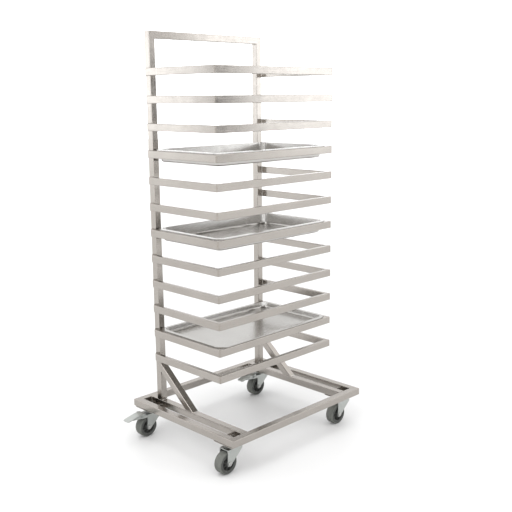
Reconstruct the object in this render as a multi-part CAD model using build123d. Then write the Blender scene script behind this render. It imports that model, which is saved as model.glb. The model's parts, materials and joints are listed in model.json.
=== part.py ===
from build123d import *
import os
from math import cos, radians, sin, sqrt

# Wheeled rack for gastronorm pans. Millimetres, +Z up, floor at Z = 0, front of the rack towards -Y.
# Two square-tube uprights carry twelve U-shaped loops that point forward, each holding one pan by its rim.
# Everything is built about the rack's own centre line at X = 0 and moved sideways when it is saved,
# so that the origin is the middle of the whole footprint, brake pedals included.

# Square and rectangular tube
tube = 25.0
wall = 1.5
tube_corner = 2.0

# Base frame on casters
base_width = 642.0
base_depth = 520.0
caster_height = 100.0
pad_thickness = 3.0
base_bottom = caster_height + pad_thickness
base_top = base_bottom + tube

# Back frame
upright_outer_width = 520.0
upright_back = 202.0
frame_top = 1400.0
upright_front = upright_back - tube

# Pan loops
loop_count = 12
loop_width = 550.0
loop_depth = 355.0
loop_thick = (loop_width - upright_outer_width) / 2
loop_tall = 25.0
loop_pitch = 89.0
lowest_loop_bottom = 278.0
loop_front = upright_back - loop_depth
arm_end_gap = 2.0

# Braces from the uprights down to the inner rails
brace_angle = 39.5
brace_drop = 10.0

# Caster mounting
swivel_x = (base_width / 2 - tube + upright_outer_width / 2) / 2
swivel_y = 209.0
pad_x = 86.0
pad_y = 90.0
pad_corner = 4.0
plate_x = 60.0
plate_y = 72.0
plate_thickness = 3.0
plate_corner = 6.0
bolt_spacing_x = 24.0
bolt_spacing_y = 42.0
bolt_radius = 3.0
bolt_hole_radius = 3.3
hex_radius = 5.77
bolt_head_height = 4.0
nut_height = 5.0
bolt_end = 90.0

# Caster fork, wheel and brake, measured from the swivel axis at floor level, wheel trailing towards -X
wheel_radius = 37.5
wheel_trail = 32.0
tyre_width = 32.0
tyre_corner = 4.5
rim_radius = 28.0
rim_width = 30.0
rim_inner_radius = 24.0
web_width = 8.0
hub_radius = 11.0
hub_width = 34.0
axle_radius = 4.0
axle_hex_radius = 7.5
axle_head_radius = 7.0
axle_head_height = 4.0
axle_nut_height = 6.5
axle_end = 1.5
running_gap = 0.05
fork_inside = 35.0
fork_sheet = 2.5
fork_boss_radius = 9.0
fork_leg_back = -38.0
fork_leg_front = 24.0
fork_shoulder = 6.0
fork_toe_x = 5.0
fork_toe_z = 7.5
crown_bottom = 82.0
crown_top = 85.0
cup_radius = 17.5
cup_top = 93.0
cup_edge = 3.0
bearing_radius = 15.5
bearing_gap = 0.3
kingpin_radius = 5.0
kingpin_head_radius = 9.0
kingpin_head_height = 3.0
head_edge = 1.5
pedal_pin_x = -54.0
pedal_pin_z = 84.0
pedal_pin_radius = 3.0
pedal_pin_end = 1.5
pedal_ear_radius = 8.0
pedal_ear_lap = 4.0
pedal_reach = 120.0
pedal_sheet = 2.5
pedal_cheek_outside = 33.0
pedal_tip_corner = 7.0

# Brake pedal outline, measured from its pin
pedal_root_x = 7.0
pedal_bend_x = -14.0
pedal_cheek_x = -46.0
pedal_crest_z = 8.0
pedal_tip_z = -4.0
pedal_low_z = -8.0
pedal_heel = 3.0
pedal_lap = 1.0
brake_nose_half = 4.0
brake_nose_z = -11.0

# Which corner each caster is at: name, side, end
caster_corners = [("front_left", -1, -1), ("front_right", 1, -1), ("rear_left", -1, 1), ("rear_right", 1, 1)]

# Pans
pan_length = 530.0
pan_width = 325.0
pan_rim = 11.5
pan_rim_height = 3.5
pan_sheet = 1.0
pan_corner = 26.0
pan_taper = 0.12
pan_bottom_fillet = 8.0
pan_rest_gap = 0.3
pan_back_gap = 0.5
pans = {"pan_upper": (4, 42.0), "pan_middle": (7, 42.0), "pan_lower": (11, 20.0)}

pedal_tip = swivel_x + pedal_reach
rack_centre_x = (pedal_tip - base_width / 2) / 2


def save(name, *pieces):
    """Writes one node; the pieces stay separate solids."""
    solids = [Pos(rack_centre_x, 0, 0) * solid for piece in pieces for solid in piece.solids()]
    whole = solids[0] if len(solids) == 1 else Compound(solids)
    export_step(whole, f"parts/{name}.step")


def bar(start, end, across, wide, tall):
    """Solid bar with rounded long edges, its wide side along across."""
    axis = Vector(*end) - Vector(*start)
    section = Plane(origin=start, x_dir=across, z_dir=axis) * RectangleRounded(wide, tall, tube_corner)
    return extrude(section, amount=axis.length)


def hollow_bar(start, end, across, wide, tall):
    """Tube with open ends."""
    axis = Vector(*end) - Vector(*start)
    bore = RectangleRounded(wide - 2 * wall, tall - 2 * wall, tube_corner - wall)
    cavity = extrude(Plane(origin=start, x_dir=across, z_dir=axis) * bore, amount=axis.length)
    return bar(start, end, across, wide, tall) - cavity


def plan_prism(corners, bottom, top):
    """Prism that stands over the given X, Y corners."""
    outline = make_face(Polyline(*corners, close=True))
    return extrude(Plane.XY.offset(bottom) * outline, amount=top - bottom)


def side_prism(corners, left, right):
    """Prism that runs along X over the given Y, Z corners."""
    outline = make_face(Polyline(*corners, close=True))
    return extrude(Plane.YZ.offset(left) * outline, amount=right - left)


def front_prism(corners, back, front):
    """Prism that runs along Y over the given X, Z corners."""
    outline = make_face(Polyline(*corners, close=True))
    return extrude(Plane.XZ.offset(-back) * outline, amount=back - front)


def upright():
    """Left upright, mitred at the top where it meets the top rail."""
    outer = -upright_outer_width / 2
    inner = outer + tube
    middle = (outer + inner) / 2
    depth = upright_back - tube / 2
    post = hollow_bar((middle, depth, base_top), (middle, depth, frame_top), (1, 0, 0), tube, tube)
    mitre = [(outer, base_top), (inner, base_top), (inner, frame_top - tube), (outer, frame_top)]
    return post & front_prism(mitre, upright_back, upright_front)


def top_rail():
    """Rail across the top of the uprights, mitred at both ends."""
    half = upright_outer_width / 2
    level = frame_top - tube / 2
    depth = upright_back - tube / 2
    rail = hollow_bar((-half, depth, level), (half, depth, level), (0, 1, 0), tube, tube)
    low = frame_top - tube
    mitre = [(-half, frame_top), (-half + tube, low), (half - tube, low), (half, frame_top)]
    return rail & front_prism(mitre, upright_back, upright_front)


def loop_arm(bottom):
    """Left arm of a loop: mitred at the front, cut back and capped at the rear beside the upright."""
    outer = -loop_width / 2
    inner = outer + loop_thick
    middle = (outer + inner) / 2
    level = bottom + loop_tall / 2
    end = upright_back - arm_end_gap
    ends = (middle, end, level), (middle, loop_front, level)
    top = bottom + loop_tall
    plan = [(inner, end), (outer, end - loop_thick), (outer, loop_front), (inner, loop_front + loop_thick)]
    cap_depth = wall * sqrt(2)
    cap_plan = [(inner, end), (outer, end - loop_thick)]
    cap_plan += [(outer, end - loop_thick - cap_depth), (inner, end - cap_depth)]
    arm = hollow_bar(*ends, (1, 0, 0), loop_thick, loop_tall) & plan_prism(plan, bottom, top)
    cap = bar(*ends, (1, 0, 0), loop_thick, loop_tall) & plan_prism(cap_plan, bottom, top)
    return arm + cap


def loop_front_bar(bottom):
    """Front bar of a loop, mitred at both ends."""
    half = loop_width / 2
    level = bottom + loop_tall / 2
    depth = loop_front + loop_thick / 2
    rail = hollow_bar((-half, depth, level), (half, depth, level), (0, 1, 0), loop_thick, loop_tall)
    back = loop_front + loop_thick
    plan = [(-half, loop_front), (half, loop_front), (half - loop_thick, back), (-half + loop_thick, back)]
    return rail & plan_prism(plan, bottom, bottom + loop_tall)


def loop_bottom(number):
    """Underside of a loop; loop 1 is the highest."""
    return lowest_loop_bottom + (loop_count - number) * loop_pitch


def base_side_rail():
    """Left outer rail of the base, mitred at both ends."""
    outer = -base_width / 2
    inner = outer + tube
    half = base_depth / 2
    middle = outer + tube / 2
    level = base_bottom + tube / 2
    rail = hollow_bar((middle, -half, level), (middle, half, level), (1, 0, 0), tube, tube)
    plan = [(outer, -half), (outer, half), (inner, half - tube), (inner, -half + tube)]
    return rail & plan_prism(plan, base_bottom, base_top)


def base_front_rail():
    """Front rail of the base, mitred at both ends."""
    half = base_width / 2
    outer = -base_depth / 2
    inner = outer + tube
    depth = outer + tube / 2
    level = base_bottom + tube / 2
    rail = hollow_bar((-half, depth, level), (half, depth, level), (0, 1, 0), tube, tube)
    plan = [(-half, outer), (half, outer), (half - tube, inner), (-half + tube, inner)]
    return rail & plan_prism(plan, base_bottom, base_top)


def base_inner_rail():
    """Left inner rail, square-cut between the front and rear rails, directly under the upright."""
    middle = -upright_outer_width / 2 + tube / 2
    half = base_depth / 2 - tube
    level = base_bottom + tube / 2
    return hollow_bar((middle, -half, level), (middle, half, level), (1, 0, 0), tube, tube)


def brace():
    """Left diagonal brace from the front of the upright down to the top of the inner rail."""
    outer = -upright_outer_width / 2
    middle = outer + tube / 2
    head = lowest_loop_bottom - brace_drop
    slope = radians(brace_angle)
    down = Vector(0, -cos(slope), -sin(slope))
    below = Vector(0, sin(slope), -cos(slope))
    centre = Vector(middle, upright_front, head) + below * (tube / 2)
    reach = (head - base_top) / sin(slope) + 2 * tube
    start = centre - down * 2 * tube
    end = centre + down * reach
    run = hollow_bar(tuple(start), tuple(end), (1, 0, 0), tube, tube)
    trim = [(upright_front, base_top), (loop_front, base_top)]
    trim += [(loop_front, frame_top), (upright_front, frame_top)]
    return run & side_prism(trim, outer, outer + tube)


def bolt_places():
    """The four bolt positions about a swivel axis."""
    half_x = bolt_spacing_x / 2
    half_y = bolt_spacing_y / 2
    return [(x, y) for x in (-half_x, half_x) for y in (-half_y, half_y)]


def drilled_plate(size_x, size_y, bottom, thickness, corner):
    """Flat plate about the swivel axis with the four bolt holes."""
    outline = RectangleRounded(size_x, size_y, corner)
    for x, y in bolt_places():
        outline -= Pos(x, y) * Circle(bolt_hole_radius)
    return extrude(Plane.XY.offset(bottom) * outline, amount=thickness)


def mounting_pad():
    """Plate welded under the two side rails, to which a caster is bolted."""
    return drilled_plate(pad_x, pad_y, caster_height, pad_thickness, pad_corner)


def caster_plate():
    """Top plate of a caster, with the bearing race under it."""
    bottom = caster_height - plate_thickness
    plate = drilled_plate(plate_x, plate_y, bottom, plate_thickness, plate_corner)
    race_bottom = cup_top + bearing_gap
    race = extrude(Plane.XY.offset(race_bottom) * Circle(bearing_radius), amount=bottom - race_bottom)
    bore = extrude(Plane.XY.offset(race_bottom) * Circle(kingpin_radius), amount=caster_height - race_bottom)
    return plate + race - bore


def kingpin():
    """Rivet that the fork turns on, headed under the fork crown."""
    head_top = crown_bottom - bearing_gap
    shaft = extrude(Plane.XY.offset(head_top) * Circle(kingpin_radius), amount=caster_height - head_top)
    head_bottom = head_top - kingpin_head_height
    head = extrude(Plane.XY.offset(head_bottom) * Circle(kingpin_head_radius), amount=kingpin_head_height)
    head = fillet(head.edges().group_by(Axis.Z)[0], head_edge)
    return shaft + head


def hexagon(bottom, height):
    """Hexagonal prism about the Z axis."""
    return extrude(Plane.XY.offset(bottom) * RegularPolygon(hex_radius, 6), amount=height)


def plate_bolt():
    """Hexagon bolt down through pad and caster plate."""
    head = hexagon(base_bottom, bolt_head_height)
    shaft = extrude(Plane.XY.offset(bolt_end) * Circle(bolt_radius), amount=base_bottom - bolt_end)
    return head + shaft


def plate_nut():
    """Nut under the caster plate."""
    bottom = caster_height - plate_thickness - nut_height
    hole = extrude(Plane.XY.offset(bottom) * Circle(bolt_radius), amount=nut_height)
    return hexagon(bottom, nut_height) - hole


def fork_side(braked):
    """Outline of one fork leg in X and Z."""
    boss = Pos(-wheel_trail, wheel_radius) * Circle(fork_boss_radius)
    taper = [(-wheel_trail - fork_boss_radius, wheel_radius), (fork_leg_back, crown_top)]
    taper += [(fork_leg_front, crown_top), (fork_leg_front, crown_bottom - fork_shoulder)]
    taper += [(-wheel_trail + fork_toe_x, wheel_radius - fork_toe_z)]
    side = boss + make_face(Polyline(*taper, close=True))
    if braked:
        web_bottom = pedal_pin_z - pedal_ear_radius
        web_length = fork_leg_back - pedal_pin_x + pedal_ear_lap
        web = Rectangle(web_length, crown_top - web_bottom, align=(Align.MIN, Align.MIN))
        side += Pos(pedal_pin_x, web_bottom) * web
        side += Pos(pedal_pin_x, pedal_pin_z) * Circle(pedal_ear_radius)
        side -= Pos(pedal_pin_x, pedal_pin_z) * Circle(pedal_pin_radius + running_gap)
    return side - Pos(-wheel_trail, wheel_radius) * Circle(axle_radius)


def fork(braked):
    """Pressed fork: two tapering legs, a crown across them and a bearing cup on top."""
    inside = fork_inside / 2
    side = fork_side(braked)
    near_leg = extrude(Plane.XZ.offset(inside) * side, amount=fork_sheet)
    far_leg = extrude(Plane.XZ.offset(-inside - fork_sheet) * side, amount=fork_sheet)
    length = fork_leg_front - fork_leg_back
    middle = (fork_leg_front + fork_leg_back) / 2
    crown = extrude(Rectangle(length, fork_inside), amount=crown_top - crown_bottom)
    crown = Pos(middle, 0, crown_bottom) * crown
    cup = extrude(Plane.XY.offset(crown_bottom) * Circle(cup_radius), amount=cup_top - crown_bottom)
    cup = fillet(cup.edges().group_by(Axis.Z)[-1], cup_edge)
    bore = Plane.XY.offset(crown_bottom) * Circle(kingpin_radius + running_gap)
    bore = extrude(bore, amount=cup_top - crown_bottom)
    return near_leg + far_leg + crown + cup - bore


def ring(inner, outer, width):
    """Half section of a ring that turns about the Y axis."""
    return Pos((inner + outer) / 2, 0) * Rectangle(outer - inner, width)


def wheel_core():
    """Plastic wheel centre with hub, web and rim."""
    section = ring(axle_radius + running_gap, hub_radius, hub_width)
    section += ring(hub_radius, rim_inner_radius, web_width)
    section += ring(rim_inner_radius, rim_radius, rim_width)
    return Pos(-wheel_trail, 0, wheel_radius) * revolve(section, Axis.Y)


def tyre():
    """Rubber tyre on the rim."""
    section = ring(rim_radius, wheel_radius, tyre_width)
    section = fillet(section.vertices().group_by(Axis.X)[-1], tyre_corner)
    return Pos(-wheel_trail, 0, wheel_radius) * revolve(section, Axis.Y)


def axle():
    """Axle bolt with its head on the front side of the fork."""
    outside = fork_inside / 2 + fork_sheet
    head = extrude(Circle(axle_head_radius), amount=axle_head_height)
    head = fillet(head.edges().group_by(Axis.Z)[-1], head_edge)
    shaft = extrude(Circle(axle_radius), amount=-(2 * outside + axle_nut_height + axle_end))
    return Pos(-wheel_trail, -outside, wheel_radius) * Rot(90, 0, 0) * (head + shaft)


def axle_nut():
    """Lock nut on the rear side of the fork."""
    outside = fork_inside / 2 + fork_sheet
    nut = extrude(RegularPolygon(axle_hex_radius, 6) - Circle(axle_radius), amount=axle_nut_height)
    return Pos(-wheel_trail, outside, wheel_radius) * Rot(-90, 0, 0) * nut


def pedal():
    """Brake pedal: a tread plate that slopes down to its tip, two cheeks on the pin and a brake nose."""
    half = pedal_cheek_outside / 2
    place = Pos(pedal_pin_x, 0, pedal_pin_z)
    tip_x = -pedal_reach - pedal_pin_x
    top = [(pedal_root_x, pedal_crest_z), (pedal_bend_x, pedal_crest_z - pedal_lap), (tip_x, pedal_tip_z)]
    plate = top + [(x, z - pedal_sheet) for x, z in reversed(top)]
    tread = front_prism(plate, half, -half)
    tread = fillet(tread.edges().filter_by(Axis.Z).group_by(Axis.X)[0], pedal_tip_corner)
    cheek = [(pedal_root_x, pedal_crest_z - pedal_lap), (pedal_root_x, pedal_low_z + pedal_heel)]
    cheek += [(pedal_root_x - pedal_heel, pedal_low_z), (-pedal_heel, pedal_low_z)]
    cheek += [(pedal_cheek_x, pedal_tip_z), (pedal_bend_x, pedal_crest_z - 2 * pedal_lap)]
    near = front_prism(cheek, -half + pedal_sheet, -half)
    far = front_prism(cheek, half, half - pedal_sheet)
    nose = [(-brake_nose_half, brake_nose_half), (-brake_nose_half, brake_nose_z)]
    nose += [(brake_nose_half, brake_nose_z + pedal_lap), (brake_nose_half, brake_nose_half)]
    shoe = front_prism(nose, half - pedal_sheet, -half + pedal_sheet)
    return place * (tread + near + far + shoe) - pedal_pin()


def pedal_pin():
    """Pin across the fork that the pedal is fixed on."""
    outside = fork_inside / 2 + fork_sheet + pedal_pin_end
    shaft = extrude(Circle(pedal_pin_radius), amount=2 * outside)
    return Pos(pedal_pin_x, outside, pedal_pin_z) * Rot(90, 0, 0) * shaft


def pan(depth):
    """Gastronorm pan with its rim's lower edge at Z = 0."""
    body_x = pan_length - 2 * pan_rim
    body_y = pan_width - 2 * pan_rim
    bottom = pan_rim_height - depth
    shrink = 2 * pan_taper * depth
    low_corner = pan_corner - shrink / 4
    rim_corner = pan_corner + pan_rim
    top_outer = Pos(0, 0, pan_rim_height) * RectangleRounded(body_x, body_y, pan_corner)
    low_outer = Pos(0, 0, bottom) * RectangleRounded(body_x - shrink, body_y - shrink, low_corner)
    outside = loft([low_outer, top_outer])
    outside = fillet(outside.faces().sort_by(Axis.Z)[0].edges(), pan_bottom_fillet)
    thin = 2 * pan_sheet
    top_inner = RectangleRounded(body_x - thin, body_y - thin, pan_corner - pan_sheet)
    top_inner = Pos(0, 0, pan_rim_height) * top_inner
    low_size = (body_x - shrink - thin, body_y - shrink - thin, low_corner - pan_sheet)
    low_inner = Pos(0, 0, bottom + pan_sheet) * RectangleRounded(*low_size)
    inside = loft([low_inner, top_inner])
    inside = fillet(inside.faces().sort_by(Axis.Z)[0].edges(), pan_bottom_fillet - pan_sheet)
    rim = extrude(RectangleRounded(pan_length, pan_width, rim_corner), amount=pan_rim_height)
    under = RectangleRounded(pan_length - thin, pan_width - thin, rim_corner - pan_sheet)
    rim -= extrude(under, amount=pan_rim_height - pan_sheet)
    return rim + outside - inside


def save_mirrored(name, shape):
    """Saves a left-hand piece and its right-hand mirror image."""
    save(f"left_{name}", shape)
    save(f"right_{name}", mirror(shape, about=Plane.YZ))


def save_frame():
    """Back frame, base frame and braces."""
    save_mirrored("upright", upright())
    save("top_rail", top_rail())
    save_mirrored("outer_base_rail", base_side_rail())
    save_mirrored("inner_base_rail", base_inner_rail())
    front_rail = base_front_rail()
    save("front_base_rail", front_rail)
    save("rear_base_rail", mirror(front_rail, about=Plane.XZ))
    save_mirrored("brace", brace())


def save_loops():
    """The pan loops, numbered from the top."""
    for number in range(1, loop_count + 1):
        bottom = loop_bottom(number)
        left = loop_arm(bottom)
        right = mirror(left, about=Plane.YZ)
        save(f"tray_loop_{number:02d}", left, loop_front_bar(bottom), right)


def save_casters():
    """Four swivel casters; the two at the back have brake pedals."""
    bolts = []
    nuts = []
    for corner, side, end in caster_corners:
        braked = end > 0
        place = Pos(side * swivel_x, end * swivel_y, 0)
        save(f"caster_pad_{corner}", place * mounting_pad())
        save(f"caster_plate_{corner}", place * caster_plate())
        save(f"kingpin_{corner}", place * kingpin())
        save(f"fork_{corner}", place * fork(braked))
        save(f"wheel_core_{corner}", place * wheel_core())
        save(f"tyre_{corner}", place * tyre())
        save(f"axle_bolt_{corner}", place * axle(), place * axle_nut())
        if braked:
            save(f"brake_pedal_{corner}", place * pedal(), place * pedal_pin())
        for x, y in bolt_places():
            bolts.append(place * Pos(x, y, 0) * plate_bolt())
            nuts.append(place * Pos(x, y, 0) * plate_nut())
    save("caster_bolts", *bolts)
    save("caster_nuts", *nuts)


def save_pans():
    """Three pans resting on their loops."""
    middle_y = upright_front - pan_back_gap - pan_width / 2
    for name, (number, depth) in pans.items():
        level = loop_bottom(number) + loop_tall + pan_rest_gap
        save(name, Pos(0, middle_y, level) * pan(depth))


os.makedirs("parts", exist_ok=True)
save_frame()
save_loops()
save_casters()
save_pans()
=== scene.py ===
import bmesh
import bpy
import json
from math import cos, pi, radians, sin
from mathutils import Matrix, Vector


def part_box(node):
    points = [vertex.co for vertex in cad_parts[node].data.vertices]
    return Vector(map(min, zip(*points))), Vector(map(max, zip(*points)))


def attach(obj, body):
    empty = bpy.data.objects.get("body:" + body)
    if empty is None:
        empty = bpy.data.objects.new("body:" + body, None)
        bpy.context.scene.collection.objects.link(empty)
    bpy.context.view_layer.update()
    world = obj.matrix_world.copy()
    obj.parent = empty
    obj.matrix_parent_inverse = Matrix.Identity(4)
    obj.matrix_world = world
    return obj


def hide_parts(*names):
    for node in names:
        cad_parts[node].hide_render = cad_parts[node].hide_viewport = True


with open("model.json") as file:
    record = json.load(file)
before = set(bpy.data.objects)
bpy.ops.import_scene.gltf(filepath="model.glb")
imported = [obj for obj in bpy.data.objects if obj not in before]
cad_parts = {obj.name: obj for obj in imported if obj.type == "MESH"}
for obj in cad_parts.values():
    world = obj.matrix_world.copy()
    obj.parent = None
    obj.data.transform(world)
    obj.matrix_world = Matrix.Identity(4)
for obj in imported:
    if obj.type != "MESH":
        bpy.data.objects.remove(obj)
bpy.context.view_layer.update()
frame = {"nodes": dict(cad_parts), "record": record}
nodes = frame["nodes"]
CORNERS = ["front_left", "front_right", "rear_left", "rear_right"]
LOOPS = [f"tray_loop_{n:02d}" for n in range(1, 13)]
PANS = ["pan_upper", "pan_middle", "pan_lower"]

# Places read from the frame
loop_low, loop_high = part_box("tray_loop_01")
left_low, left_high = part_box("left_upright")
right_low, right_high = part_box("right_upright")
base_low, base_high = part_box("front_base_rail")
centre_x = (base_low.x + base_high.x) / 2


# Materials ---------------------------------------------------------------------

# Base colours
TUBE_LIGHT = (0.408, 0.381, 0.352)
TUBE_DARK = (0.376, 0.349, 0.321)
HEAT_TINT = (0.28, 0.25, 0.215)
PAN_LIGHT = (0.50, 0.487, 0.468)
PAN_DARK = (0.455, 0.442, 0.423)
WELD_LIGHT = (0.66, 0.64, 0.62)
WELD_DARK = (0.50, 0.47, 0.43)

# Lowest and highest roughness
TUBE_ROUGH = (0.16, 0.23)
PAN_ROUGH = (0.16, 0.24)
WELD_ROUGH = (0.30, 0.48)
ZINC_ROUGH = (0.30, 0.46)
RUBBER_ROUGH = (0.48, 0.72)

# Bump: strength, and height in metres
HAIRLINE_BUMP = (0.05, 0.0001)
WELD_BUMP = (0.25, 0.0004)
ZINC_BUMP = (0.10, 0.0004)
RUBBER_BUMP = (0.22, 0.0003)

# Stretch of the noise: even, or drawn out into hairlines as (along, across) per metre
EVEN = (1.0, 1.0, 1.0)
TUBE_LINES = (14.0, 900.0)
PAN_LINES = (8.0, 700.0)

# The ground weld at a mitre: half widths in metres, then the strength of its tint and dullness
MITRE_CORE = 0.0006
MITRE_EDGE = 0.006
MITRE_TINT = 0.55
MITRE_DULLING = 0.08


class Shader:
    """Small helper that builds one Principled material node by node."""

    def __init__(self, name, metallic, **sockets):
        self.material = bpy.data.materials.new(name)
        self.material.use_nodes = True
        self.tree = self.material.node_tree
        self.principled = self.tree.nodes["Principled BSDF"]
        self.principled.inputs["Metallic"].default_value = metallic
        for key, value in sockets.items():
            self.principled.inputs[key.replace("_", " ")].default_value = value
        self.object_point = self.node("ShaderNodeTexCoord").outputs["Object"]

    def node(self, kind, **settings):
        """A new shader node with its settings."""
        made = self.tree.nodes.new(kind)
        for key, value in settings.items():
            setattr(made, key, value)
        return made

    def link(self, source, target):
        """Joins an output to an input."""
        self.tree.links.new(source, target)

    def math(self, operation, a, b=0.0, clamp=False):
        """One arithmetic step on numbers or outputs."""
        made = self.node("ShaderNodeMath", operation=operation, use_clamp=clamp)
        for socket, value in zip(made.inputs, (a, b)):
            if isinstance(value, (int, float)):
                socket.default_value = value
            else:
                self.link(value, socket)
        return made.outputs[0]

    def noise(self, stretch, scale, detail=3.0, roughness=0.55):
        """Noise in object space, stretched along the axes."""
        mapping = self.node("ShaderNodeMapping")
        mapping.inputs["Scale"].default_value = stretch
        self.link(self.object_point, mapping.inputs["Vector"])
        texture = self.node("ShaderNodeTexNoise")
        texture.inputs["Scale"].default_value = scale
        texture.inputs["Detail"].default_value = detail
        texture.inputs["Roughness"].default_value = roughness
        self.link(mapping.outputs[0], texture.inputs["Vector"])
        return texture.outputs["Fac"]

    def remap(self, value, low, high, start=0.3, end=0.7):
        """Maps start..end, where noise mostly lies, to low..high."""
        made = self.node("ShaderNodeMapRange")
        made.inputs["From Min"].default_value = start
        made.inputs["From Max"].default_value = end
        made.inputs["To Min"].default_value = low
        made.inputs["To Max"].default_value = high
        self.link(value, made.inputs["Value"])
        return made.outputs[0]

    def blend(self, factor, a, b):
        """Mixes two colours or colour outputs."""
        made = self.node("ShaderNodeMix", data_type="RGBA")
        colours = [socket for socket in made.inputs if socket.type == "RGBA"]
        for socket, value in zip(colours, (a, b)):
            if isinstance(value, tuple):
                socket.default_value = (*value, 1.0)
            else:
                self.link(value, socket)
        self.link(factor, made.inputs[0])
        return [socket for socket in made.outputs if socket.type == "RGBA"][0]

    def bump(self, height, strength, distance):
        """Fine relief from a height output."""
        made = self.node("ShaderNodeBump")
        made.inputs["Strength"].default_value = strength
        made.inputs["Distance"].default_value = distance
        self.link(height, made.inputs["Height"])
        return made.outputs[0]

    def finish(self, colour, roughness, normal):
        """Connects the three outputs and hands the material over."""
        self.link(colour, self.principled.inputs["Base Color"])
        self.link(roughness, self.principled.inputs["Roughness"])
        self.link(normal, self.principled.inputs["Normal"])
        return self.material


def lines_along(axis, along, across):
    """Stretch that draws noise out into hairlines along one axis."""
    return tuple(along if i == axis else across for i in range(3))


def steel_finish(shader, grain, light, dark, rough_range, mitre=None):
    """Satin stainless steel: hairlines, cloudy handling marks and broad tone changes."""
    cloud = shader.noise(EVEN, 9.0, 4.0)
    smudge = shader.noise(EVEN, 38.0, 5.0, 0.6)
    colour = shader.blend(shader.remap(cloud, 0.0, 1.0), dark, light)
    streak = shader.remap(grain, -0.03, 0.05)
    rough = shader.math("ADD", shader.remap(smudge, *rough_range), streak, clamp=True)
    if mitre is not None:
        colour = shader.blend(shader.math("MULTIPLY", mitre, MITRE_TINT), colour, HEAT_TINT)
        dulling = shader.math("MULTIPLY", mitre, MITRE_DULLING)
        rough = shader.math("ADD", rough, dulling, clamp=True)
    return shader.finish(colour, rough, shader.bump(grain, *HAIRLINE_BUMP))


def straight_steel(name, axis):
    """Steel for a tube that runs along one axis."""
    shader = Shader(name, 1.0)
    grain = shader.noise(lines_along(axis, *TUBE_LINES), 1.0, 2.0)
    return steel_finish(shader, grain, TUBE_LIGHT, TUBE_DARK, TUBE_ROUGH)


def bent_steel(name, half, front):
    """Steel for the loops: the grain turns at the mitre, over a faint band of ground weld."""
    shader = Shader(name, 1.0)
    split = shader.node("ShaderNodeSeparateXYZ")
    shader.link(shader.object_point, split.inputs[0])
    off_centre = shader.math("ABSOLUTE", shader.math("SUBTRACT", split.outputs[0], centre_x))
    from_side = shader.math("SUBTRACT", half, off_centre)
    from_front = shader.math("SUBTRACT", split.outputs[1], front)
    past_mitre = shader.math("SUBTRACT", from_side, from_front)
    mix = shader.node("ShaderNodeMix", data_type="FLOAT")
    shader.link(shader.math("GREATER_THAN", past_mitre, 0.0), mix.inputs[0])
    shader.link(shader.noise(lines_along(1, *TUBE_LINES), 1.0, 2.0), mix.inputs[2])
    shader.link(shader.noise(lines_along(0, *TUBE_LINES), 1.0, 2.0), mix.inputs[3])
    seam = shader.math("ABSOLUTE", past_mitre)
    band = shader.remap(seam, 1.0, 0.0, MITRE_CORE, MITRE_EDGE)
    return steel_finish(shader, mix.outputs[0], TUBE_LIGHT, TUBE_DARK, TUBE_ROUGH, band)


def pan_steel(name):
    """Pressed pan: brighter than the tube, with fine scratches both ways."""
    shader = Shader(name, 1.0)
    first = shader.noise(lines_along(0, *PAN_LINES), 1.0, 1.0)
    second = shader.noise(lines_along(1, *PAN_LINES), 1.0, 1.0)
    scratches = shader.math("MAXIMUM", first, second)
    return steel_finish(shader, scratches, PAN_LIGHT, PAN_DARK, PAN_ROUGH)


def weld_steel(name):
    """Weld metal: rougher than the tube, with straw and grey heat colours."""
    shader = Shader(name, 1.0)
    patch = shader.noise(EVEN, 160.0, 3.0)
    ripple = shader.noise(EVEN, 700.0, 2.0)
    colour = shader.blend(shader.remap(patch, 0.0, 1.0), WELD_DARK, WELD_LIGHT)
    rough = shader.remap(ripple, *WELD_ROUGH)
    return shader.finish(colour, rough, shader.bump(ripple, *WELD_BUMP))


def zinc(name, light, dark):
    """Zinc plating with its faint spangle."""
    shader = Shader(name, 1.0)
    cells = shader.node("ShaderNodeTexVoronoi")
    cells.inputs["Scale"].default_value = 420.0
    shader.link(shader.object_point, cells.inputs["Vector"])
    cloud = shader.noise(EVEN, 45.0, 4.0)
    spangle = shader.math("MULTIPLY", cells.outputs["Distance"], 0.35)
    mixed = shader.math("ADD", spangle, cloud)
    colour = shader.blend(shader.remap(mixed, 0.0, 1.0, 0.4, 0.95), dark, light)
    return shader.finish(colour, shader.remap(cloud, *ZINC_ROUGH), shader.bump(cloud, *ZINC_BUMP))


def rubber(name, light, dark, grime):
    """Rubber or plastic: fine moulded skin and pale scuffs where it meets the floor."""
    shader = Shader(name, 0.0, Specular_IOR_Level=0.35)
    skin = shader.noise(EVEN, 1500.0, 3.0)
    scuff = shader.noise(EVEN, 70.0, 5.0, 0.65)
    colour = shader.blend(shader.remap(scuff, 0.0, 1.0, 0.42, 0.75), dark, light)
    colour = shader.blend(shader.remap(skin, 0.0, grime), colour, light)
    rough = shader.remap(scuff, *RUBBER_ROUGH)
    return shader.finish(colour, rough, shader.bump(skin, *RUBBER_BUMP))


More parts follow.
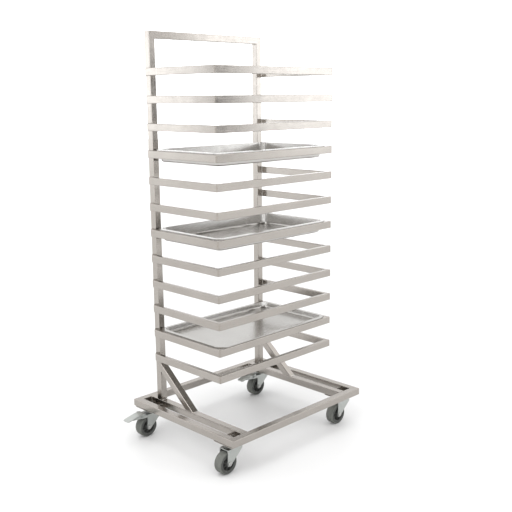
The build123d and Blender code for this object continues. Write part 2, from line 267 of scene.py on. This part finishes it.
STEEL_X = straight_steel("satin_steel_x", 0)
STEEL_Y = straight_steel("satin_steel_y", 1)
STEEL_Z = straight_steel("satin_steel_z", 2)
LOOP_STEEL = bent_steel("satin_steel_loop", (loop_high.x - loop_low.x) / 2, loop_low.y)
PAN_STEEL = pan_steel("pressed_pan_steel")
WELD = weld_steel("weld_metal")
ZINC = zinc("bright_zinc", light=(0.475, 0.490, 0.470), dark=(0.385, 0.400, 0.385))
# Painted shade: the caster plates' zinc is darker and browner than the bright zinc, standing in
# for the shade under the base rails
PLATE_ZINC_PAINTED_SHADE = zinc("plate_zinc_painted_shade", light=(0.30, 0.27, 0.25), dark=(0.22, 0.19, 0.18))
BOLT_ZINC = zinc("fastener_zinc", light=(0.50, 0.50, 0.48), dark=(0.36, 0.36, 0.35))
TYRE_RUBBER = rubber("tyre_rubber", light=(0.150, 0.155, 0.140), dark=(0.098, 0.102, 0.092),
                     grime=0.3)
SIDE_RUBBER = rubber("tyre_side_rubber", light=(0.078, 0.082, 0.075),
                     dark=(0.048, 0.051, 0.046), grime=0.2)
CORE_PLASTIC = rubber("wheel_plastic", light=(0.080, 0.083, 0.078),
                      dark=(0.050, 0.052, 0.048), grime=0.15)


def paint(name, material):
    """Gives a CAD node its material."""
    mesh = nodes[name].data
    mesh.materials.clear()
    mesh.materials.append(material)


for name in ("top_rail", "front_base_rail", "rear_base_rail"):
    paint(name, STEEL_X)
for side in ("left", "right"):
    paint(f"{side}_upright", STEEL_Z)
    paint(f"{side}_outer_base_rail", STEEL_Y)
    paint(f"{side}_inner_base_rail", STEEL_Y)
    paint(f"{side}_brace", STEEL_Y)
for name in LOOPS:
    paint(name, LOOP_STEEL)
for name in PANS:
    paint(name, PAN_STEEL)


# Hard pieces with broken edges -------------------------------------------------

EDGE = 0.0005
SMALL_EDGE = 0.0004
EDGE_SEGMENTS = 2
SAME_POINT = 1e-6
SLIVER = 2e-6
FLAT_ANGLE = 0.5        # faces that meet flatter than this become one
SHARP_ANGLE = 32        # edges that bend more than this are rounded
HARD_SMOOTHING = 40     # shading is smooth over edges that bend less than this
WHEEL_SMOOTHING = 30
BEAD_SMOOTHING = 60


def new_object(name, mesh, *materials):
    """Puts a mesh with its materials into the scene."""
    made = bpy.data.objects.new(name, mesh)
    for material in materials:
        mesh.materials.append(material)
    bpy.context.scene.collection.objects.link(made)
    return made


def is_sharp(edge):
    """Whether an edge between two faces is to be rounded."""
    return len(edge.link_faces) == 2 and edge.calc_face_angle(0.0) > radians(SHARP_ANGLE)


def smooth_by_angle(mesh, degrees):
    """Smooth shading that keeps the edges sharper than the angle."""
    for polygon in mesh.polygons:
        polygon.use_smooth = True
    shape = bmesh.new()
    shape.from_mesh(mesh)
    for edge in shape.edges:
        edge.smooth = len(edge.link_faces) == 2 and edge.calc_face_angle(0.0) < radians(degrees)
    shape.to_mesh(mesh)
    shape.free()


def body_of(node):
    """The moving body that holds a CAD node."""
    for body, members in frame["record"]["behaviour"]["bodies"].items():
        if node in members:
            return body


def softened(node, material, width):
    """A finer copy of a hard CAD node, with its sharp edges rounded, that takes its place."""
    shape = bmesh.new()
    shape.from_mesh(nodes[node].data)
    bmesh.ops.remove_doubles(shape, verts=shape.verts, dist=SAME_POINT)
    bmesh.ops.dissolve_limit(shape, angle_limit=radians(FLAT_ANGLE), verts=shape.verts,
                             edges=shape.edges)
    sharp = [edge for edge in shape.edges if is_sharp(edge)]
    bmesh.ops.bevel(shape, geom=sharp, offset=width, segments=EDGE_SEGMENTS, affect="EDGES",
                    clamp_overlap=True)
    bmesh.ops.dissolve_degenerate(shape, dist=SLIVER, edges=shape.edges)
    mesh = bpy.data.meshes.new(node + "_fine")
    shape.to_mesh(mesh)
    shape.free()
    made = new_object(node + "_fine", mesh, material)
    smooth_by_angle(mesh, HARD_SMOOTHING)
    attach(made, body_of(node))
    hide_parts(node)


for corner in CORNERS:
    softened(f"caster_pad_{corner}", STEEL_Y, EDGE)
    # The caster plates take the zinc with painted shade
    softened(f"caster_plate_{corner}", PLATE_ZINC_PAINTED_SHADE, SMALL_EDGE)
    softened(f"kingpin_{corner}", BOLT_ZINC, SMALL_EDGE)
    softened(f"fork_{corner}", ZINC, EDGE)
    softened(f"axle_bolt_{corner}", BOLT_ZINC, SMALL_EDGE)
for corner in ("rear_left", "rear_right"):
    softened(f"brake_pedal_{corner}", ZINC, EDGE)
softened("caster_bolts", BOLT_ZINC, EDGE)
softened("caster_nuts", BOLT_ZINC, EDGE)


# Wheels ------------------------------------------------------------------------

TURN_STEPS = 96
SIDE_FACES = 6          # profile faces on each side of the tyre, up to the shoulder
LIP_START = 0.0012      # the lip's flat runs between these distances out from the rim
LIP_END = 0.0030
WALL = 0.0004           # the sidewall lies this far inside the tyre's full width
SHOULDER = 0.0045
SHOULDER_STEPS = 6
SHOULDER_DROP = 0.0004  # the shoulder ends this far under the crown
BORE = 0.00405
HUB = 0.011
RIM_INSET = 0.0005      # the core's rim lies this far inside the tyre's width
WEB_HALF = 0.004
RIBS = 8
RIB_START = 0.0105
RIB_END_GAP = 0.0038    # from a rib's outer end to the core's outer radius
RIB_HALF = 0.0135
RIB_THICK = 0.0016


def revolved(name, profile, centre, materials, second=()):
    """Turns a closed profile of (radius, along Y) points about an axis parallel to Y.
    The profile faces listed in second take the second material."""
    shape = bmesh.new()
    rings = []
    for step in range(TURN_STEPS):
        turn = 2 * pi * step / TURN_STEPS
        ring = []
        for r, y in profile:
            point = (centre.x + r * cos(turn), centre.y + y, centre.z + r * sin(turn))
            ring.append(shape.verts.new(point))
        rings.append(ring)
    for here, there in zip(rings, rings[1:] + rings[:1]):
        for i in range(len(profile)):
            k = (i + 1) % len(profile)
            face = shape.faces.new((here[i], here[k], there[k], there[i]))
            face.material_index = 1 if i in second else 0
    bmesh.ops.recalc_face_normals(shape, faces=shape.faces)
    mesh = bpy.data.meshes.new(name)
    shape.to_mesh(mesh)
    shape.free()
    made = new_object(name, mesh, *materials)
    smooth_by_angle(mesh, WHEEL_SMOOTHING)
    return made


def mirrored(left):
    """A half profile followed by its mirror image, the other way round."""
    return left + [(r, -y) for r, y in reversed(left)]


def tyre_profile(inner, outer, half):
    """Round shoulders, a slight crown, a lip on each side and a moulding line in the middle."""
    side = [(inner, -half + 0.0008), (inner + LIP_START, -half), (inner + LIP_END, -half)]
    side += [(inner + LIP_END + 0.0006, -half + 0.0005), (outer - 0.0054, -half + WALL)]
    shoulder = []
    for step in range(SHOULDER_STEPS + 1):
        turn = radians(90 * step / SHOULDER_STEPS)
        r = outer - SHOULDER_DROP - SHOULDER * (1 - sin(turn))
        shoulder.append((r, -half + WALL + SHOULDER * (1 - cos(turn))))
    crown = [(outer - 0.0001, -half * 0.35), (outer, -0.0009), (outer - 0.0004, -0.0004)]
    return mirrored(side + shoulder + crown)


def core_profile(rim, hub_half, rim_half):
    """Hub, dished web and rim of a moulded wheel centre."""
    left = [(BORE, -hub_half), (HUB - 0.0012, -hub_half), (HUB, -hub_half + 0.0012)]
    left += [(HUB + 0.0008, -WEB_HALF - 0.0012), (HUB + 0.0024, -WEB_HALF)]
    left += [(rim - 0.0062, -WEB_HALF), (rim - 0.0045, -WEB_HALF - 0.0012)]
    left += [(rim - 0.0040, -rim_half + 0.0010), (rim - 0.0032, -rim_half)]
    left += [(rim - 0.0004, -rim_half), (rim, -rim_half + 0.0004)]
    return mirrored(left)


def add_ribs(wheel, centre, outer):
    """Radial ribs on both sides of the web."""
    length = outer - RIB_START
    size = Matrix.Diagonal((length, RIB_HALF * 0.9, RIB_THICK, 1.0))
    shape = bmesh.new()
    shape.from_mesh(wheel.data)
    for side in (-1, 1):
        along = Matrix.Translation((RIB_START + length / 2, side * RIB_HALF * 0.6, 0.0))
        for step in range(RIBS):
            turn = 2 * pi * (step + 0.5) / RIBS
            place = Matrix.Translation(centre) @ Matrix.Rotation(-turn, 4, "Y") @ along @ size
            made = bmesh.ops.create_cube(shape, size=1.0)
            bmesh.ops.transform(shape, matrix=place, verts=made["verts"])
            edges = list({e for v in made["verts"] for e in v.link_edges})
            bmesh.ops.bevel(shape, geom=edges, offset=SMALL_EDGE, segments=EDGE_SEGMENTS,
                            affect="EDGES")
    shape.to_mesh(wheel.data)
    shape.free()
    smooth_by_angle(wheel.data, WHEEL_SMOOTHING)


def wheel(corner):
    """A caster's tyre and moulded centre, in place of the plain CAD ones."""
    low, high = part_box(f"tyre_{corner}")
    core_low, core_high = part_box(f"wheel_core_{corner}")
    centre = (low + high) / 2
    half = (high.y - low.y) / 2
    rim = (core_high.z - core_low.z) / 2

    profile = tyre_profile(rim, (high.z - low.z) / 2, half)
    first_side = len(profile) - SIDE_FACES - 1
    sides = [*range(SIDE_FACES), *range(first_side, len(profile))]
    tyre = revolved(f"tyre_{corner}_fine", profile, centre, (TYRE_RUBBER, SIDE_RUBBER), sides)
    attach(tyre, f"wheel_{corner}")
    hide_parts(f"tyre_{corner}")

    profile = core_profile(rim, (core_high.y - core_low.y) / 2, half - RIM_INSET)
    core = revolved(f"wheel_core_{corner}_fine", profile, centre, (CORE_PLASTIC,))
    add_ribs(core, centre, rim - RIB_END_GAP)
    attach(core, f"wheel_{corner}")
    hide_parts(f"wheel_core_{corner}")


for corner in CORNERS:
    wheel(corner)


# Weld beads --------------------------------------------------------------------

LOOP_BEAD = 0.0016
BASE_BEAD = 0.0018
BEAD_PITCH = 0.0022     # from one ripple to the next
BEAD_RIPPLE = 0.14      # share of the thickness that comes and goes
BEAD_TIP = 0.45         # share of the thickness at a bead's ends
TIP_RINGS = 4
BEAD_SIDES = 8
FLAT_INSET = 0.002      # a level bead stops this far short of the tube's edges
UPWARD_INSET = 0.0015


def bead_points(path):
    """Points along a path, four to a ripple."""
    points = []
    for start, end in zip(path, path[1:]):
        start, end = Vector(start), Vector(end)
        steps = max(2, int((end - start).length / (BEAD_PITCH / 4)))
        points += [start.lerp(end, i / steps) for i in range(steps)]
    points.append(Vector(path[-1]))
    return points


def bead(shape, path, radius):
    """Adds one weld bead: a tube along the path whose thickness swells with each ripple."""
    points = bead_points(path)
    last = len(points) - 1
    rings = []
    travelled = 0.0
    for i, point in enumerate(points):
        ahead = points[min(i + 1, last)] - points[max(i - 1, 0)]
        ahead.normalize()
        side = ahead.orthogonal().normalized()
        other = ahead.cross(side)
        if i:
            travelled += (point - points[i - 1]).length
        taper = min(1.0, BEAD_TIP + (1 - BEAD_TIP) * min(i, last - i) / TIP_RINGS)
        ripple = 1 - BEAD_RIPPLE + BEAD_RIPPLE * abs(cos(pi * travelled / BEAD_PITCH))
        swell = radius * taper * ripple
        ring = []
        for step in range(BEAD_SIDES):
            turn = 2 * pi * step / BEAD_SIDES
            around = point + side * swell * cos(turn) + other * swell * sin(turn)
            ring.append(shape.verts.new(around))
        rings.append(ring)
    for here, there in zip(rings, rings[1:]):
        for i in range(BEAD_SIDES):
            k = (i + 1) % BEAD_SIDES
            shape.faces.new((here[i], here[k], there[k], there[i]))
    shape.faces.new(reversed(rings[0]))
    shape.faces.new(rings[-1])


def bead_object(name, paths, radius):
    """One object holding several beads, fixed to the rack's frame."""
    shape = bmesh.new()
    for path in paths:
        bead(shape, path, radius)
    bmesh.ops.recalc_face_normals(shape, faces=shape.faces)
    mesh = bpy.data.meshes.new(name)
    shape.to_mesh(mesh)
    shape.free()
    made = new_object(name, mesh, WELD)
    smooth_by_angle(mesh, BEAD_SMOOTHING)
    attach(made, "rack_frame")


def level_path(low, high, y, z):
    """Path across a tube, from its low to its high X."""
    return [(low.x + FLAT_INSET, y, z), (high.x - FLAT_INSET, y, z)]


def upward_path(x, y, low, high):
    """Path up a tube's wall, from its low to its high Z."""
    return [(x, y, low.z + UPWARD_INSET), (x, y, high.z - UPWARD_INSET)]


for name in LOOPS:
    low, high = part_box(name)
    paths = [upward_path(x, left_low.y, low, high) for x in (left_low.x, right_high.x)]
    bead_object(f"{name}_welds", paths, LOOP_BEAD)

base_paths = []
for low, high in ((left_low, left_high), (right_low, right_high)):
    for y in (low.y, high.y):
        base_paths.append(level_path(low, high, y, base_high.z))
for side in ("left", "right"):
    low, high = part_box(f"{side}_brace")
    base_paths.append(level_path(low, high, low.y, low.z))
    base_paths.append(level_path(low, high, high.y, high.z))
    low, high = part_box(f"{side}_inner_base_rail")
    for y in (low.y, high.y):
        for x in (low.x, high.x):
            base_paths.append(upward_path(x, y, low, high))
bead_object("base_welds", base_paths, BASE_BEAD)


# Floor -------------------------------------------------------------------------

FLOOR_HALF = 16
FLOOR_DARK = (0.68, 0.68, 0.68)
FLOOR_LIGHT = (0.70, 0.70, 0.70)
# Painted light: the floor's far colour, brighter than near the rack
FLOOR_FAR = (0.95, 0.95, 0.95)
FLOOR_NEAR_END = 1.2    # the floor starts to brighten this far out
FLOOR_FAR_START = 7.0   # and has its far colour from here on
QUAD = [(0, 1, 2, 3)]


def floor_material():
    """Pale floor with painted light: its colour brightens with distance, so that it meets the
    background without a line.
    """
    shader = Shader("pale_floor", 0.0)
    cloud = shader.noise(EVEN, 2.0, 4.0)
    length = shader.node("ShaderNodeVectorMath", operation="LENGTH")
    shader.link(shader.object_point, length.inputs[0])
    far = shader.remap(length.outputs["Value"], 0.0, 1.0, FLOOR_NEAR_END, FLOOR_FAR_START)
    tint = shader.blend(shader.remap(cloud, 0.0, 1.0), FLOOR_DARK, FLOOR_LIGHT)
    # Painted light: the tint brightens towards the far colour with distance from the rack
    tint = shader.blend(far, tint, FLOOR_FAR)
    return shader.finish(tint, shader.remap(cloud, 0.50, 0.56), shader.bump(cloud, 0.02, 0.001))


floor_mesh = bpy.data.meshes.new("floor")
floor_sides = ((-1, -1), (1, -1), (1, 1), (-1, 1))
floor_mesh.from_pydata([(FLOOR_HALF * x, FLOOR_HALF * y, 0) for x, y in floor_sides], [], QUAD)
floor = new_object("floor", floor_mesh, floor_material())


# Studio light ------------------------------------------------------------------

GLOW = (0.955, 0.975, 1.0)
GLOW_STRENGTH = 3.1
# Height runs from straight down (0) over the horizon (0.5) to straight up (1)
SKY = [(0.45, (0.35, 0.35, 0.35)), (0.47, GLOW), (0.535, GLOW), (0.59, (0.36, 0.36, 0.36)),
       (0.72, (0.36, 0.36, 0.36)), (0.85, (0.50, 0.50, 0.50)), (1.0, (0.50, 0.50, 0.50))]
CARD_DISTANCE = 4.5


def studio_world():
    """Surroundings that are bright in a band at the horizon and grey above and below."""
    world = bpy.context.scene.world or bpy.data.worlds.new("studio")
    bpy.context.scene.world = world
    world.use_nodes = True
    tree = world.node_tree
    background = tree.nodes["Background"]
    background.inputs["Strength"].default_value = GLOW_STRENGTH
    where = tree.nodes.new("ShaderNodeTexCoord")
    split = tree.nodes.new("ShaderNodeSeparateXYZ")
    height = tree.nodes.new("ShaderNodeMapRange")
    ramp = tree.nodes.new("ShaderNodeValToRGB")
    height.inputs["From Min"].default_value = -1.0
    tree.links.new(where.outputs["Generated"], split.inputs[0])
    tree.links.new(split.outputs["Z"], height.inputs["Value"])
    tree.links.new(height.outputs[0], ramp.inputs[0])
    tree.links.new(ramp.outputs[0], background.inputs["Color"])
    stops = ramp.color_ramp.elements
    for i, (position, colour) in enumerate(SKY):
        stop = stops[i] if i < 2 else stops.new(position)
        stop.position = position
        stop.color = (*colour, 1.0)


def area_light(name, place, target, size, power):
    """A soft rectangular lamp that points at its target."""
    data = bpy.data.lights.new(name, "AREA")
    data.shape = "RECTANGLE"
    data.size, data.size_y = size
    data.energy = power
    lamp = bpy.data.objects.new(name, data)
    lamp.location = place
    lamp.rotation_euler = (Vector(target) - Vector(place)).to_track_quat("-Z", "Y").to_euler()
    bpy.context.scene.collection.objects.link(lamp)


def card(name, degrees, width, low, high, grey):
    """Grey studio card out of view: it only shows as a soft dark reflection in the steel."""
    azimuth = radians(degrees)
    middle = Vector((CARD_DISTANCE * cos(azimuth), CARD_DISTANCE * sin(azimuth), 0.0))
    side = Vector((-sin(azimuth), cos(azimuth), 0.0)) * (width / 2)
    bottom, top = Vector((0, 0, low)), Vector((0, 0, high))
    low_pair = [middle - side + bottom, middle + side + bottom]
    high_pair = [middle + side + top, middle - side + top]
    mesh = bpy.data.meshes.new(name)
    mesh.from_pydata(low_pair + high_pair, [], QUAD)
    shader = Shader(name, 0.0)
    tone = shader.noise(EVEN, 1.5, 2.0)
    lighter = (grey * 1.15, grey * 1.12, grey * 1.1)
    colour = shader.blend(shader.remap(tone, 0.0, 1.0), (grey, grey, grey), lighter)
    shader.finish(colour, shader.remap(tone, 0.8, 0.9), shader.bump(tone, 0.02, 0.001))
    made = new_object(name, mesh, shader.material)
    made.visible_camera = False
    made.visible_shadow = False
    made.visible_diffuse = False


studio_world()
area_light("key", (-2.4, -0.6, 2.9), target=(0.0, 0.0, 0.6), size=(2.2, 2.2), power=30.0)
area_light("fill", (1.6, -2.6, 2.2), target=(0.0, 0.0, 0.7), size=(2.0, 1.6), power=8.0)
area_light("top", (0.2, 0.3, 3.4), target=(0.0, 0.0, 0.0), size=(2.6, 2.6), power=20.0)
card("card_right", -55, width=1.1, low=0.75, high=2.4, grey=0.10)
card("card_left", 141.5, width=1.1, low=0.9, high=2.4, grey=0.35)
for side, degrees in (("front", -90), ("back", 90), ("right_end", 0), ("left_end", 180)):
    card(f"card_{side}", degrees, width=1.5, low=0.9, high=2.8, grey=0.30)


# Camera ------------------------------------------------------------------------

LENS = 55.24
SENSOR = 36.0
SHIFT_UP = 0.0220
YAW = radians(45.007)
PITCH = radians(-12.36)
ROLL = radians(-0.497)
# From the base's middle, the uprights' rear face and the base's top
CAMERA_LEFT = 1.8910
CAMERA_IN_FRONT = 2.1382
CAMERA_ABOVE = 1.0641

camera_data = bpy.data.cameras.new("camera")
camera_data.sensor_width = SENSOR
camera_data.lens = LENS
camera_data.shift_y = SHIFT_UP
camera = bpy.data.objects.new("camera", camera_data)
camera.location = (centre_x - CAMERA_LEFT, left_high.y - CAMERA_IN_FRONT,
                   base_high.z + CAMERA_ABOVE)
forward = Vector((sin(YAW) * cos(PITCH), cos(YAW) * cos(PITCH), sin(PITCH)))
look = forward.to_track_quat("-Z", "Y").to_matrix().to_4x4()
camera.rotation_euler = (look @ Matrix.Rotation(ROLL, 4, "Z")).to_euler()
bpy.context.scene.collection.objects.link(camera)
bpy.context.scene.camera = camera
bpy.context.scene.view_settings.view_transform = "Standard"
